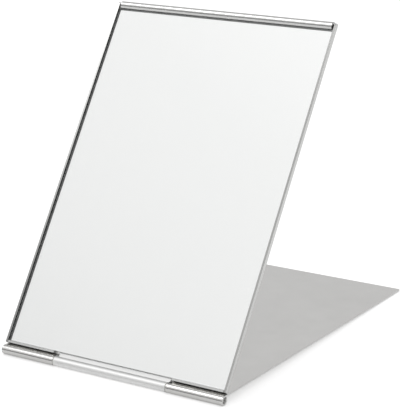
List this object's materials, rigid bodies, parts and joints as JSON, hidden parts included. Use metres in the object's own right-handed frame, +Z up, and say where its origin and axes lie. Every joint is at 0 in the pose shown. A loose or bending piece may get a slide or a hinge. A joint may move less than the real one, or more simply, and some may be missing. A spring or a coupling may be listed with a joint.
{
  "type": "folding make-up mirror",
  "caption": "Folding make-up mirror: glass in a bent aluminium tray with a curled top edge, leaning back over a flat aluminium plate that shares its full-width hinge.",
  "frame": {"origin": "on the table under the middle of the open mirror's bounding box", "axes": "+Z up; +Y from the hinge along the plate to its free edge; the glass faces -Y and up; the hinge runs along X"},
  "size_m": [0.1, 0.1484, 0.1265],
  "materials": {
    "aluminium_plate": "satin anodised",
    "aluminium_tray": "satin anodised",
    "pin_steel": "drawn bright",
    "nylon": "natural nylon",
    "glass": "polished, seamed edges",
    "silvering": "silvered with a painted back",
    "tape": "double-sided foam tape"
  },
  "bodies": {
    "stand": {"stand_plate": "aluminium_plate", "hinge_pin": "pin_steel", "hinge_washer_left": "nylon", "hinge_washer_right": "nylon"},
    "mirror": {"mirror_holder": "aluminium_tray", "mirror_glass": "glass", "mirror_coating": "silvering", "tape_strip_left": "tape", "tape_strip_middle": "tape", "tape_strip_right": "tape"}
  },
  "joints": [
    {"name": "mirror_fold", "type": "hinge", "parent": "stand", "child": "mirror", "pos_m": [0, -0.07231, 0.0019], "axis": [1, 0, 0], "range_deg": [0, 302.8]}
  ]
}
